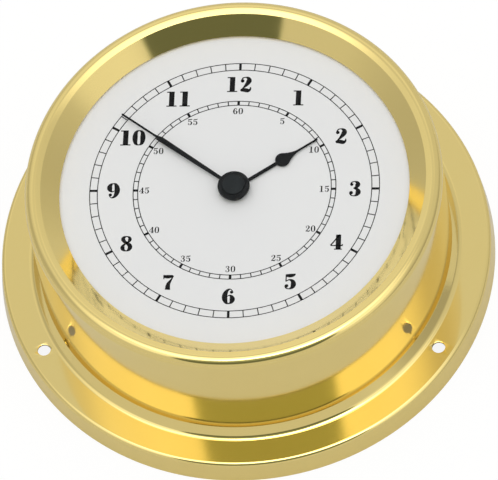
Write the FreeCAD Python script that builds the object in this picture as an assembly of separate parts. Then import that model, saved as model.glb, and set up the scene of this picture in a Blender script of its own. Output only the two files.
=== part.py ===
import FreeCAD, Part
import math
import os

V = FreeCAD.Vector
os.makedirs("parts", exist_ok=True)

# A brass ship's clock, lying on its back. All lengths are millimetres.
# The origin is the centre of the rim that stands on the wall, +Z runs out of the dial, 12 o'clock is +Y.

# Case, drawn from one brass sheet: turned-down rim, wall flange, foot cone, drum, bead, rebate and inner cone
opening_r = 42.0
sheet_t = 0.9
inner_cone_w = 3.2
inner_cone_h = 2.55
ledge_w = 1.0
bead_w = 3.9
bead_in_z = 39.4
bead_rise = 1.0
bead_round = 2.0
bend_step_r = 1.0
foot_cone_w = 1.85
foot_cone_h = 2.3
flange_w = 7.35
flange_z = 6.3
rim_lean = 0.7
rim_round = 0.9

# Wall screw holes, at a share of the flange's width
hole_at_share = 0.415
hole_r = 1.6
hole_count = 3
first_hole_deg = 90.0

# Glass, set in the rebate from the front
glass_t = 1.1
glass_gap = 0.05

# Dial, pressed against the edge of the inner cone from behind
dial_t = 0.8
dial_lap = 2.5
dial_hole_gap = 0.05

# Hands and the cap over their hub
hand_t = 0.3
hour_hand_lift = 0.5
minute_hand_lift = 0.6
minute_hub_r = 3.0
minute_tip_r = 34.5
minute_shoulder_r = 22.5
minute_neck_r = 24.9
minute_root_w = 0.84
minute_shoulder_w = 1.36
minute_needle_w = 0.46
hour_hub_r = 3.1
hour_tip_r = 23.6
hour_stem_w = 0.84
hour_bulb_at_r = 13.7
hour_bulb_r = 1.78
hour_neck_r = 18.2
hour_needle_w = 0.46
bulb_flare_deg = 35.0
shoulder_flare_deg = 112.0
cap_r = 3.85
cap_t = 0.7
button_r = 2.7
button_t = 0.4
shown_hour = 1
shown_minute = 51

# Arbors: the hour tube turns in the movement's bushing, and the minute arbor turns in the hour tube
run_gap = 0.05
minute_arbor_r = 1.75
arbor_foot_r = 1.0
hand_seat_r = 1.2
hour_tube_t = 0.7
bushing_t = 0.45
pivot_r = 0.5
pivot_depth = 0.8
pivot_end_gap = 0.1

# Gear teeth: each pair shares a module, and the two motion-work pairs share one centre distance
pressure_deg = 20.0
tooth_share = 0.42
addendum_share = 0.95
dedendum_share = 1.25
curved_flank_teeth = 12
motion_module = 0.48
cannon_teeth = 10
minute_wheel_teeth = 30
minute_pinion_teeth = 8
hour_wheel_teeth = 32
knob_teeth = 15
centre_module = 0.28
centre_wheel_teeth = 60
drive_pinion_teeth = 8
rotor_module = 0.25
drive_wheel_teeth = 64
rotor_teeth = 8
wheel_t = 1.0
layer_gap = 0.8
pinion_over = 0.3
minute_wheel_deg = 150.0
knob_deg = 130.0
drive_wheel_deg = 75.0
rotor_deg = -5.0

# Small pins, their holes and other hidden round parts are drawn with flat sides, which keeps the mesh light
pin_sides = 16

# Movement housing: front plate with the bushing, and a base with the gear chamber and the battery bay
bay_wall_t = 1.8
move_depth = 15.5
move_bevel = 1.5
housing_t = 1.2
pad_t = 0.8
pad_w = 48.0
pad_hole_w = 18.0
post_r = 1.3
strap_w = 6.0
strap_drop = 6.0
strap_t = 1.1
strap_bar = 1.2
strap_at_share = 0.36
clip_gap = 0.15

# Battery, one AA cell, and its two spring contacts
cell_r = 7.25
cell_l = 50.5
nub_r = 2.75
nub_l = 1.3
bay_gap = 0.35
bay_end_gap = 0.95
bay_inset = 0.2
bay_roof_t = 0.5
contact_t = 0.3
contact_w = 8.0
contact_clear = 0.1
tail_w = 2.0
tail_slot_gap = 0.2

# Step motor: two-pole rotor, stator plate, core, bobbin and winding
magnet_r = 2.5
magnet_h = 2.8
magnet_drop = 1.2
rotor_hub_r = 0.9
stator_t = 1.4
stator_gap = 0.5
stator_arm_w = 3.0
stator_left = 7.0
stator_right = 13.0
stator_below = 4.5
stator_reach = 13.9
core_t = 0.8
bobbin_wall = 0.7
bobbin_flange_t = 0.9
winding_h = 1.0
coil_end_gap = 0.3

# Circuit board with its quartz can and covered chip
board_t = 1.0
board_w = 21.0
board_lift = 1.9
board_edge_gap = 0.5
can_r = 1.3
can_l = 8.0
chip_r = 3.0
chip_h = 1.1

# Setting knob at the back
knob_r = 5.5
knob_t = 1.6
knob_ridges = 16
knob_ridge_h = 0.35
knob_arbor_r = 1.2
knob_lift = 0.4

# Back cover with fins that clamp the dial, and its screws in three soldered lugs
cover_t = 2.0
cover_set_in = 4.1
cover_wall_gap = 0.5
window_gap = 0.5
collar_t = 1.2
collar_h = 3.0
fin_count = 6
fin_t = 1.8
fin_w = 4.0
rib_h = 2.2
lug_w = 8.0
lug_t = 1.2
lug_h = 7.0
lug_gap = 0.3
screw_r = 1.0
screw_clear = 0.15
screw_tip = 1.5
screw_head_r = 1.9
screw_head_h = 1.2
screw_count = 3
first_screw_deg = 30.0

overrun = 1.0

# Heights and radii that follow from the sizes above
bead_in_r = opening_r + inner_cone_w + ledge_w
wall_r = bead_in_r + bead_w
flange_in_r = wall_r + foot_cone_w
flange_r = flange_in_r + flange_w + rim_lean
hole_at_r = flange_in_r + hole_at_share * flange_w
cone_angle = math.atan2(inner_cone_h, inner_cone_w)
ledge_z = bead_in_z - glass_t
lip_z = ledge_z - inner_cone_h
dial_top = lip_z - sheet_t * math.cos(cone_angle)
dial_back = dial_top - dial_t
dial_r = opening_r + dial_lap
drum_in_r = wall_r - sheet_t

bay_half_l = cell_l / 2 + bay_end_gap
move_w = 2 * (bay_half_l + bay_wall_t)
front_z = dial_back - pad_t
back_z = front_z - move_depth
gear_top = front_z - housing_t
floor_z = back_z + housing_t
chamber_half = move_w / 2 - housing_t

hour_wheel_z = gear_top - layer_gap / 4 - wheel_t
minute_wheel_z = hour_wheel_z - layer_gap - wheel_t
centre_wheel_z = minute_wheel_z - layer_gap - wheel_t
drive_wheel_z = centre_wheel_z - layer_gap - wheel_t
magnet_z = drive_wheel_z - magnet_drop - magnet_h
stator_z = magnet_z + (magnet_h - stator_t) / 2

hour_hand_z = dial_top + hour_hand_lift
minute_hand_z = hour_hand_z + hand_t + minute_hand_lift
cap_z = minute_hand_z + hand_t
hour_tube_in_r = minute_arbor_r + run_gap
hour_tube_r = hour_tube_in_r + hour_tube_t
bushing_in_r = hour_tube_r + run_gap
bushing_r = bushing_in_r + bushing_t

minute_deg = 90.0 - 360.0 * shown_minute / 60
hour_deg = 90.0 - 360.0 * (shown_hour + shown_minute / 60) / 12

# Both motion-work pairs have one centre distance, so the second module follows from the first
hour_module = motion_module * (cannon_teeth + minute_wheel_teeth) / (minute_pinion_teeth + hour_wheel_teeth)
motion_distance = motion_module * (cannon_teeth + minute_wheel_teeth) / 2
knob_distance = motion_module * (minute_wheel_teeth + knob_teeth) / 2
drive_distance = centre_module * (centre_wheel_teeth + drive_pinion_teeth) / 2
rotor_distance = rotor_module * (drive_wheel_teeth + rotor_teeth) / 2

bay_w = 2 * (cell_r + bay_gap)
bay_y = -chamber_half + bay_w / 2
bay_wall_y = bay_y + bay_w / 2
chamber_y = bay_wall_y + housing_t
cell_z = back_z + bay_inset + cell_r

cover_top = back_z + cover_set_in
cover_z = cover_top - cover_t
cover_r = drum_in_r - cover_wall_gap
screw_at_r = (dial_r + lug_gap + drum_in_r) / 2


def polar(radius, degrees, centre=V(0, 0, 0)):
    angle = math.radians(degrees)
    return centre + V(radius * math.cos(angle), radius * math.sin(angle), 0)


centre = V(0, 0, 0)
minute_wheel_at = polar(motion_distance, minute_wheel_deg)
knob_at = polar(knob_distance, knob_deg, minute_wheel_at)
drive_wheel_at = polar(drive_distance, drive_wheel_deg)
rotor_at = polar(rotor_distance, rotor_deg, drive_wheel_at)

board_x1 = chamber_half - board_edge_gap
board_x0 = board_x1 - board_w
board_y0 = chamber_y + board_edge_gap + contact_t + board_edge_gap
board_y1 = rotor_at.y - stator_below - board_edge_gap
board_z = floor_z + board_lift
tail_z = board_z + board_t

core_z = stator_z + stator_t
core_y = rotor_at.y + stator_reach - stator_arm_w / 2
coil_x0 = rotor_at.x - stator_left + stator_arm_w + coil_end_gap
coil_x1 = rotor_at.x + stator_right - stator_arm_w - coil_end_gap


def save(name, shape):
    shape.exportStep("parts/" + name + ".step")


def disc(radius, low, high, at=centre):
    return Part.makeCylinder(radius, high - low, V(at.x, at.y, low))


def pin(radius, low, high, at=centre):
    """A small round part with its corners on the radius."""
    corners = [polar(radius, 360.0 * k / pin_sides, V(at.x, at.y, low)) for k in range(pin_sides)]
    return Part.Face(Part.makePolygon(corners + corners[:1])).extrude(V(0, 0, high - low))


def pin_hole(radius, low, high, at=centre):
    """A hole with its flats on the radius, in which a pin of that radius can turn."""
    return pin(radius / math.cos(math.pi / pin_sides), low, high, at)


def ring(inner, outer, low, high, at=centre):
    return disc(outer, low, high, at).cut(disc(inner, low - overrun, high + overrun, at))


def block(x0, x1, y0, y1, z0, z1):
    return Part.makeBox(x1 - x0, y1 - y0, z1 - z0, V(x0, y0, z0))


def square(width, low, high):
    return block(-width / 2, width / 2, -width / 2, width / 2, low, high)


def bevelled_square(width, bevel, low, high):
    plate = square(width, low, high)
    upright = [edge for edge in plate.Edges if edge.Vertexes[0].Z != edge.Vertexes[-1].Z]
    return plate.makeChamfer(bevel, upright)


def unit(vector):
    return V(vector).normalize()


def offset_line(points, distance):
    """The line that runs beside an open outline, on its left, with mitred corners."""
    ways = [unit(b - a) for a, b in zip(points, points[1:])]
    left = [V(-way.z, 0, way.x) for way in ways]
    result = [points[0] + left[0] * distance]
    for at, before, after in zip(points[1:], left, left[1:]):
        mitre = before + after
        result.append(at + mitre * (2 * distance / mitre.dot(mitre)))
    result.append(points[-1] + left[-1] * distance)
    return result


def turn_side(before, at, after):
    """Plus one where the outline turns left at a corner, and minus one where it turns right."""
    first = at - before
    second = after - at
    return 1 if first.x * second.z - first.z * second.x > 0 else -1


def rounded_line(points, radii):
    """Points of an open outline, with each corner rounded to its own radius in even steps."""
    result = points[:1]
    for i, radius in enumerate(radii, start=1):
        before, at, after = points[i - 1], points[i], points[i + 1]
        if radius == 0:
            result.append(at)
            continue
        back = unit(before - at)
        ahead = unit(after - at)
        half = back.getAngle(ahead) / 2
        heart = at + unit(back + ahead) * (radius / math.sin(half))
        from_heart = at + back * (radius / math.tan(half)) - heart
        turn = turn_side(before, at, after) * (math.pi - 2 * half)
        steps = round(radius / bend_step_r)
        for k in range(steps + 1):
            angle = turn * k / steps
            result.append(heart + V(from_heart.x * math.cos(angle) - from_heart.z * math.sin(angle), 0,
                                    from_heart.x * math.sin(angle) + from_heart.z * math.cos(angle)))
    return result + points[-1:]


def sheet_face(points, radii, thickness):
    """Section of a bent sheet: one face as drawn, and the other a thickness to its left."""
    sides = [turn_side(a, b, c) for a, b, c in zip(points, points[1:], points[2:])]
    other_radii = [max(r - side * thickness, 0) for r, side in zip(radii, sides)]
    other = rounded_line(offset_line(points, thickness), other_radii)
    corners = rounded_line(points, radii) + other[::-1]
    return Part.Face(Part.makePolygon(corners + corners[:1]))


def involute(angle):
    return math.tan(angle) - angle


def tooth_half_angle(radius, teeth, module):
    """Half the angle that one tooth spans at a radius, by the involute of its base circle."""
    pitch_r = module * teeth / 2
    pressure = math.radians(pressure_deg)
    base_r = pitch_r * math.cos(pressure)
    here = math.acos(min(base_r / radius, 1))
    at_pitch = tooth_share * math.pi / teeth
    return at_pitch + involute(pressure) - involute(here)


def gear(teeth, module, low, high, at, phase):
    """A spur gear whose first tooth points along phase, in degrees."""
    pitch_r = module * teeth / 2
    root_r = pitch_r - dedendum_share * module
    tip_r = pitch_r + addendum_share * module
    radii = [root_r, pitch_r, tip_r] if teeth < curved_flank_teeth else [root_r, tip_r]
    corners = []
    for k in range(teeth):
        middle = math.radians(phase) + 2 * math.pi * k / teeth
        halves = [tooth_half_angle(r, teeth, module) for r in radii]
        flank = [(r, middle - half) for r, half in zip(radii, halves)]
        flank += [(r, middle + half) for r, half in zip(reversed(radii), reversed(halves))]
        corners += [V(at.x + r * math.cos(a), at.y + r * math.sin(a), low) for r, a in flank]
    face = Part.Face(Part.makePolygon(corners + corners[:1]))
    return face.extrude(V(0, 0, high - low))


def meshed_phase(phase, teeth, other_teeth, line_deg):
    """Phase of a gear that meshes with one of known phase, along the line from it to the other."""
    slip = phase - line_deg
    return line_deg + 180.0 - slip * teeth / other_teeth + 180.0 / other_teeth


minute_wheel_phase = meshed_phase(0.0, cannon_teeth, minute_wheel_teeth, minute_wheel_deg)
knob_phase = meshed_phase(minute_wheel_phase, minute_wheel_teeth, knob_teeth, knob_deg)
minute_pinion_phase = meshed_phase(0.0, hour_wheel_teeth, minute_pinion_teeth, minute_wheel_deg)
drive_pinion_phase = meshed_phase(0.0, centre_wheel_teeth, drive_pinion_teeth, drive_wheel_deg)
rotor_phase = meshed_phase(0.0, drive_wheel_teeth, rotor_teeth, rotor_deg)


def case_outline():
    """Visible line of the drawn sheet, from the rim on the wall to the edge of the inner cone."""
    drum_top_z = bead_in_z + bead_rise
    return [
        V(flange_r, 0, 0),
        V(flange_r - rim_lean, 0, flange_z),
        V(flange_in_r, 0, flange_z),
        V(wall_r, 0, flange_z + foot_cone_h),
        V(wall_r, 0, drum_top_z),
        V(bead_in_r, 0, bead_in_z),
        V(bead_in_r, 0, ledge_z),
        V(bead_in_r - ledge_w, 0, ledge_z),
        V(opening_r, 0, lip_z),
    ]


def case_shell():
    radii = [rim_round, 0, 0, bead_round, 0, 0, 0]
    section = sheet_face(case_outline(), radii, sheet_t)
    shell = section.revolve(centre, V(0, 0, 1), 360)
    shell = shell.cut(disc(flange_r + overrun, -flange_z, 0))
    for k in range(hole_count):
        at = polar(hole_at_r, first_hole_deg + 360.0 * k / hole_count)
        shell = shell.cut(disc(hole_r, -overrun, flange_z + overrun, at))
    return shell


def glass():
    return disc(bead_in_r - glass_gap, ledge_z, bead_in_z)


def dial_plate():
    hole = pin_hole(bushing_r + dial_hole_gap, dial_back - overrun, dial_top + overrun)
    return disc(dial_r, dial_back, dial_top).cut(hole)


def arc_from(start, way, end):
    """Arc from start to end that leaves start in a given direction, all in one level plane."""
    chord = end - start
    turn = 2 * (math.atan2(chord.y, chord.x) - math.atan2(way.y, way.x))
    sag = chord.Length / 2 * math.tan(turn / 4)
    side = V(chord.y, -chord.x, 0).normalize()
    return Part.Arc(start, start + chord * 0.5 + side * sag, end)


def mirrored_wire(right_edges):
    """Close a hand's outline from the edges of its right half."""
    left_edges = [edge.mirror(centre, V(1, 0, 0)) for edge in right_edges]
    return Part.Wire(Part.__sortEdges__(right_edges + left_edges))


def hand(right_edges, hub_r, bore_r, low, degrees):
    """A flat hand, drawn along +Y, with its hub ring, turned to its place on the dial."""
    blade = Part.Face(mirrored_wire(right_edges)).extrude(V(0, 0, hand_t))
    blade.translate(V(0, 0, low))
    blade.rotate(centre, V(0, 0, 1), degrees - 90.0)
    whole = blade.fuse(pin(hub_r, low, low + hand_t))
    return whole.cut(pin(bore_r, low - overrun, low + hand_t + overrun)).removeSplitter()


def line(a, b):
    return Part.LineSegment(a, b).toShape()


def minute_hand():
    root = V(minute_root_w / 2, 0, 0)
    shoulder = V(minute_shoulder_w / 2, minute_shoulder_r, 0)
    neck = V(minute_needle_w / 2, minute_neck_r, 0)
    tip = V(minute_needle_w / 2, minute_tip_r - minute_needle_w / 2, 0)
    way = polar(1, shoulder_flare_deg)
    edges = [line(root, shoulder), arc_from(shoulder, way, neck).toShape()]
    edges += [line(neck, tip), line(tip, V(0, minute_tip_r, 0))]
    return hand(edges, minute_hub_r, hand_seat_r, minute_hand_z, minute_deg)


def hour_hand():
    root = V(hour_stem_w / 2, 0, 0)
    bulb = V(0, hour_bulb_at_r, 0)
    below = math.sqrt(hour_bulb_r ** 2 - (hour_stem_w / 2) ** 2)
    stem_end = V(hour_stem_w / 2, hour_bulb_at_r - below, 0)
    bulb_side = V(hour_bulb_r, hour_bulb_at_r, 0)
    bulb_end = polar(hour_bulb_r, bulb_flare_deg, bulb)
    neck = V(hour_needle_w / 2, hour_neck_r, 0)
    tip = V(hour_needle_w / 2, hour_tip_r - hour_needle_w / 2, 0)
    way = polar(1, 90.0 + bulb_flare_deg)
    edges = [line(root, stem_end), Part.Arc(stem_end, bulb_side, bulb_end).toShape()]
    edges += [arc_from(bulb_end, way, neck).toShape(), line(neck, tip), line(tip, V(0, hour_tip_r, 0))]
    return hand(edges, hour_hub_r, hour_tube_r, hour_hand_z, hour_deg)


def hub_cap():
    cap = disc(cap_r, cap_z, cap_z + cap_t)
    return cap.fuse(disc(button_r, cap_z + cap_t, cap_z + cap_t + button_t)).removeSplitter()


def minute_arbor():
    """Arbor with the centre wheel below and the cannon pinion above, up to the minute hand's seat."""
    arbor = pin(arbor_foot_r, floor_z - pivot_depth + pivot_end_gap, centre_wheel_z)
    arbor = arbor.fuse(pin(minute_arbor_r, centre_wheel_z, minute_hand_z))
    arbor = arbor.fuse(pin(hand_seat_r, minute_hand_z, cap_z))
    wheel = gear(centre_wheel_teeth, centre_module, centre_wheel_z, centre_wheel_z + wheel_t, centre, 0.0)
    low = minute_wheel_z - pinion_over
    cannon = gear(cannon_teeth, motion_module, low, low + wheel_t + 2 * pinion_over, centre, 0.0)
    return arbor.fuse([wheel, cannon]).removeSplitter()


def hour_wheel():
    """Wheel and tube in one, with the hour hand pressed on the tube's end."""
    wheel = gear(hour_wheel_teeth, hour_module, hour_wheel_z, hour_wheel_z + wheel_t, centre, 0.0)
    tube = pin(hour_tube_r, hour_wheel_z, hour_hand_z + hand_t)
    bore = pin_hole(hour_tube_in_r, hour_wheel_z - overrun, hour_hand_z + hand_t + overrun)
    return wheel.fuse(tube).cut(bore).removeSplitter()


def pivoted(shape, at):
    """Add an arbor that runs from the base's floor to the front plate."""
    low = floor_z - pivot_depth + pivot_end_gap
    high = gear_top + pivot_depth - pivot_end_gap
    return shape.fuse(pin(pivot_r, low, high, at)).removeSplitter()


def minute_wheel():
    at = minute_wheel_at
    wheel = gear(minute_wheel_teeth, motion_module, minute_wheel_z, minute_wheel_z + wheel_t, at,
                 minute_wheel_phase)
    pinion = gear(minute_pinion_teeth, hour_module, minute_wheel_z + wheel_t, hour_wheel_z + wheel_t, at,
                  minute_pinion_phase)
    return pivoted(wheel.fuse(pinion), at)


def drive_wheel():
    at = drive_wheel_at
    wheel = gear(drive_wheel_teeth, rotor_module, drive_wheel_z, drive_wheel_z + wheel_t, at, 0.0)
    pinion = gear(drive_pinion_teeth, centre_module, drive_wheel_z + wheel_t,
                  centre_wheel_z + wheel_t + pinion_over, at, drive_pinion_phase)
    return pivoted(wheel.fuse(pinion), at)


def rotor_pinion():
    hub = pin(rotor_hub_r, magnet_z, drive_wheel_z - pinion_over, rotor_at)
    pinion = gear(rotor_teeth, rotor_module, drive_wheel_z - pinion_over,
                  drive_wheel_z + wheel_t + pinion_over, rotor_at, rotor_phase)
    return pivoted(hub.fuse(pinion), rotor_at)


def rotor_magnet():
    hole = pin(rotor_hub_r, magnet_z - overrun, magnet_z + magnet_h + overrun, rotor_at)
    return pin(magnet_r, magnet_z, magnet_z + magnet_h, rotor_at).cut(hole)


def setting_knob():
    """Gear on the minute wheel, its arbor through the floor, and the ridged thumb disc at the back."""
    gear_low = minute_wheel_z
    body = gear(knob_teeth, motion_module, gear_low, gear_low + wheel_t, knob_at, knob_phase)
    high = gear_top + pivot_depth - pivot_end_gap
    low = back_z - knob_lift - knob_t
    body = body.fuse(pin(pivot_r, gear_low, high, knob_at))
    body = body.fuse(pin(knob_arbor_r, low, gear_low, knob_at))
    corners = []
    for k in range(2 * knob_ridges):
        radius = knob_r - knob_ridge_h * (k % 2)
        corners.append(polar(radius, 180.0 * k / knob_ridges, V(knob_at.x, knob_at.y, low)))
    thumb = Part.Face(Part.makePolygon(corners + corners[:1])).extrude(V(0, 0, knob_t))
    return body.fuse(thumb).removeSplitter()


def strap_places():
    return [(side, along * strap_at_share * move_w) for side in (-1, 1) for along in (-1, 1)]


def movement_front():
    plate = bevelled_square(move_w, move_bevel, gear_top, front_z)
    plate = plate.fuse(pin(bushing_r, gear_top, dial_top))
    for side, y in strap_places():
        near = side * move_w / 2
        x0, x1 = sorted((near, near + side * strap_t))
        strap = block(x0, x1, y - strap_w / 2, y + strap_w / 2, gear_top - strap_drop, front_z)
        gap = block(x0 - overrun, x1 + overrun, y - strap_w / 2 + strap_bar, y + strap_w / 2 - strap_bar,
                    gear_top - strap_drop + strap_bar, gear_top - strap_bar)
        plate = plate.fuse(strap.cut(gap.common(strap)))
    plate = plate.cut(pin_hole(bushing_in_r, gear_top - overrun, dial_top + overrun))
    for at in (minute_wheel_at, drive_wheel_at, rotor_at, knob_at):
        plate = plate.cut(pin_hole(pivot_r + run_gap, gear_top - overrun, gear_top + pivot_depth, at))
    roof = front_z - bay_roof_t
    bay = block(-bay_half_l, bay_half_l, bay_y - bay_w / 2, bay_y + bay_w / 2, gear_top - overrun, roof)
    return plate.cut(bay).removeSplitter()


def stator_post_places():
    left = rotor_at.x - stator_left + stator_arm_w / 2
    right = rotor_at.x + stator_right - stator_arm_w / 2
    low = rotor_at.y - stator_below + stator_arm_w / 2
    high = rotor_at.y + stator_reach - stator_arm_w / 2
    return [V(left, high, 0), V(right, high, 0), V(right, low, 0)]


def board_post_places():
    y = (board_y0 + board_y1) / 2
    return [V(board_x0 + 2 * post_r, y, 0), V(board_x1 - 2 * post_r, y, 0)]


def movement_base():
    base = bevelled_square(move_w, move_bevel, back_z, gear_top)
    base = base.cut(block(-chamber_half, chamber_half, chamber_y, chamber_half, floor_z, gear_top + overrun))
    base = base.cut(block(-bay_half_l, bay_half_l, bay_y - bay_w / 2, bay_wall_y,
                          back_z - overrun, gear_top + overrun))
    for at in stator_post_places():
        base = base.fuse(pin(post_r, floor_z, stator_z, at))
    for at in board_post_places():
        base = base.fuse(pin(post_r, floor_z, board_z, at))
    for side, y in strap_places():
        near = side * move_w / 2
        x0, x1 = sorted((near, near + side * (strap_t - clip_gap)))
        base = base.fuse(block(x0, x1, y - strap_w / 2 + strap_bar + clip_gap,
                               y + strap_w / 2 - strap_bar - clip_gap,
                               gear_top - strap_drop + strap_bar + clip_gap, gear_top - strap_bar - clip_gap))
    low = floor_z - pivot_depth
    base = base.cut(pin_hole(arbor_foot_r + run_gap, low, floor_z + overrun))
    for at in (minute_wheel_at, drive_wheel_at, rotor_at):
        base = base.cut(pin_hole(pivot_r + run_gap, low, floor_z + overrun, at))
    base = base.cut(pin_hole(knob_arbor_r + run_gap, back_z - overrun, floor_z + overrun, knob_at))
    for side in (-1, 1):
        outer = side * bay_half_l
        x0, x1 = sorted((outer, outer - side * (contact_t + tail_slot_gap)))
        slot = block(x0, x1, bay_wall_y - overrun, chamber_y + overrun,
                     tail_z - tail_slot_gap, tail_z + tail_w + tail_slot_gap)
        base = base.cut(slot)
    return base.removeSplitter()


def movement_pad():
    return square(pad_w, front_z, dial_back).cut(square(pad_hole_w, front_z - overrun, dial_back + overrun))


def stator():
    """Horseshoe plate: round the rotor below, with two arms that end under the coil's core."""
    x0 = rotor_at.x - stator_left
    x1 = rotor_at.x + stator_right
    y0 = rotor_at.y - stator_below
    y1 = rotor_at.y + stator_reach
    plate = block(x0, x1, y0, y1, stator_z, stator_z + stator_t)
    gap = block(x0 + stator_arm_w, x1 - stator_arm_w, rotor_at.y + stator_below, y1 + overrun,
                stator_z - overrun, stator_z + stator_t + overrun)
    plate = plate.cut(gap)
    hole = pin_hole(magnet_r + stator_gap, stator_z - overrun, stator_z + stator_t + overrun, rotor_at)
    return plate.cut(hole)


def sleeve(x0, x1, grow_in, grow_out):
    """Square sleeve round the coil's core, grown from the core's own section."""
    def grown(a, b, grow):
        return block(a, b, core_y - stator_arm_w / 2 - grow, core_y + stator_arm_w / 2 + grow,
                     core_z - grow, core_z + core_t + grow)
    return grown(x0, x1, grow_out).cut(grown(x0 - overrun, x1 + overrun, grow_in))


def coil_core():
    return block(rotor_at.x - stator_left, rotor_at.x + stator_right, core_y - stator_arm_w / 2,
                 core_y + stator_arm_w / 2, core_z, core_z + core_t)


def coil_bobbin():
    tube = sleeve(coil_x0, coil_x1, clip_gap, bobbin_wall)
    left = sleeve(coil_x0, coil_x0 + bobbin_flange_t, clip_gap, bobbin_wall + winding_h)
    right = sleeve(coil_x1 - bobbin_flange_t, coil_x1, clip_gap, bobbin_wall + winding_h)
    return tube.fuse([left, right]).removeSplitter()


def coil_winding():
    return sleeve(coil_x0 + bobbin_flange_t, coil_x1 - bobbin_flange_t, bobbin_wall, bobbin_wall + winding_h)


def circuit_board():
    return block(board_x0, board_x1, board_y0, board_y1, board_z, board_z + board_t)


def quartz_can():
    can = pin(can_r, 0, can_l)
    can.rotate(centre, V(0, 1, 0), 90)
    can.translate(V(board_x0 + board_edge_gap, board_y1 - can_r - board_edge_gap, board_z + board_t + can_r))
    return can


def chip_cover():
    at = V(board_x1 - chip_r - board_edge_gap - contact_w / 2, (board_y0 + board_y1) / 2, 0)
    return pin(chip_r, board_z + board_t, board_z + board_t + chip_h, at)


def contact_plate(side):
    """Leaf in one end of the battery bay, with a raised spot that meets the cell."""
    outer = side * bay_half_l
    inner = outer - side * contact_t
    x0, x1 = sorted((outer, inner))
    low = back_z + bay_gap
    high = gear_top - bay_gap
    leaf = block(x0, x1, bay_y - contact_w / 2, bay_y + contact_w / 2, low, high)
    tail = block(x0, x1, bay_y, board_y0 + tail_w, tail_z, tail_z + tail_w)
    spot_h = bay_end_gap - contact_t - contact_clear
    spot = pin(nub_r, 0, spot_h)
    spot.rotate(centre, V(0, 1, 0), -90 * side)
    spot.translate(V(inner, bay_y, cell_z))
    return leaf.fuse([tail, spot]).removeSplitter()


def plus_contact():
    return contact_plate(1)


def minus_contact():
    """As the other contact, with a strip along the bay wall to the circuit board."""
    y0 = chamber_y + board_edge_gap
    strip = block(-bay_half_l, board_x0 + tail_w, y0, y0 + contact_t, tail_z, tail_z + tail_w)
    foot = block(board_x0, board_x0 + tail_w, y0, board_y0 + tail_w, tail_z, tail_z + contact_t)
    return contact_plate(-1).fuse([strip, foot]).removeSplitter()


def battery():
    """Cell along X, with its plus nub on +X."""
    along = V(1, 0, 0)
    can = Part.makeCylinder(cell_r, cell_l - nub_l, V(-cell_l / 2, bay_y, cell_z), along)
    nub = Part.makeCylinder(nub_r, nub_l, V(cell_l / 2 - nub_l, bay_y, cell_z), along)
    return can.fuse(nub).removeSplitter()


def screw_places():
    return [first_screw_deg + 360.0 * k / screw_count for k in range(screw_count)]


def cover_fin():
    """Rib from the window's collar outwards, which rises at its outer end up to the dial."""
    inner_x = move_w / 2 + window_gap
    step_x = dial_r - fin_w
    rib_top = cover_top + rib_h
    outline = [
        (inner_x, cover_top), (dial_r, cover_top), (dial_r, dial_back),
        (step_x, dial_back), (step_x, rib_top), (inner_x, rib_top),
    ]
    corners = [V(x, -fin_t / 2, z) for x, z in outline]
    return Part.Face(Part.makePolygon(corners + corners[:1])).extrude(V(0, fin_t, 0))


def back_cover():
    """Moulded plate with a collared window for the movement, fins to the dial, and screw slots at its edge."""
    window_w = move_w + 2 * window_gap
    cover = disc(cover_r, cover_z, cover_top)
    cover = cover.fuse(square(window_w + 2 * collar_t, cover_top, cover_top + collar_h))
    for k in range(fin_count):
        fin = cover_fin()
        fin.rotate(centre, V(0, 0, 1), 360.0 * k / fin_count)
        cover = cover.fuse(fin)
    cover = cover.cut(square(window_w, cover_z - overrun, cover_top + collar_h + overrun))
    half_w = screw_r + screw_clear
    for degrees in screw_places():
        slot = block(screw_at_r - half_w, cover_r + overrun, -half_w, half_w,
                     cover_z - overrun, cover_top + overrun)
        slot.rotate(centre, V(0, 0, 1), degrees)
        cover = cover.cut(slot)
    return cover.removeSplitter()


def cover_lugs():
    """Brass angles soldered inside the drum, tapped for the cover's screws."""
    lugs = []
    for degrees in screw_places():
        tab = ring(dial_r + lug_gap, drum_in_r, cover_top, cover_top + lug_t)
        upright = ring(drum_in_r - lug_t, drum_in_r, cover_top, cover_top + lug_h)
        slice_box = block(dial_r / 2, wall_r + overrun, -lug_w / 2, lug_w / 2, cover_top, cover_top + lug_h)
        lug = tab.fuse(upright).common(slice_box)
        lug.rotate(centre, V(0, 0, 1), degrees)
        at = polar(screw_at_r, degrees)
        lugs.append(lug.cut(pin(screw_r, cover_z, cover_top + lug_h, at)).removeSplitter())
    return Part.makeCompound([lug.Solids[0] for lug in lugs])


def cover_screws():
    screws = []
    for degrees in screw_places():
        at = polar(screw_at_r, degrees)
        shank = pin(screw_r, cover_z, cover_top + lug_t + screw_tip, at)
        head = pin(screw_head_r, cover_z - screw_head_h, cover_z, at)
        screws.append(shank.fuse(head).removeSplitter().Solids[0])
    return Part.makeCompound(screws)


save("case_shell", case_shell())
save("glass", glass())
save("dial_plate", dial_plate())
save("minute_hand", minute_hand())
save("hour_hand", hour_hand())
save("hub_cap", hub_cap())
save("minute_arbor", minute_arbor())
save("hour_wheel", hour_wheel())
save("minute_wheel", minute_wheel())
save("drive_wheel", drive_wheel())
save("rotor_pinion", rotor_pinion())
save("rotor_magnet", rotor_magnet())
save("setting_knob", setting_knob())
save("movement_front", movement_front())
save("movement_base", movement_base())
save("movement_pad", movement_pad())
save("stator", stator())
save("coil_core", coil_core())
save("coil_bobbin", coil_bobbin())
save("coil_winding", coil_winding())
save("circuit_board", circuit_board())
save("quartz_can", quartz_can())
save("chip_cover", chip_cover())
save("plus_contact", plus_contact())
save("minus_contact", minus_contact())
save("battery", battery())
save("back_cover", back_cover())
save("cover_lugs", cover_lugs())
save("cover_screws", cover_screws())
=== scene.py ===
import math

import bmesh
import bpy
from mathutils import Matrix, Vector


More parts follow.
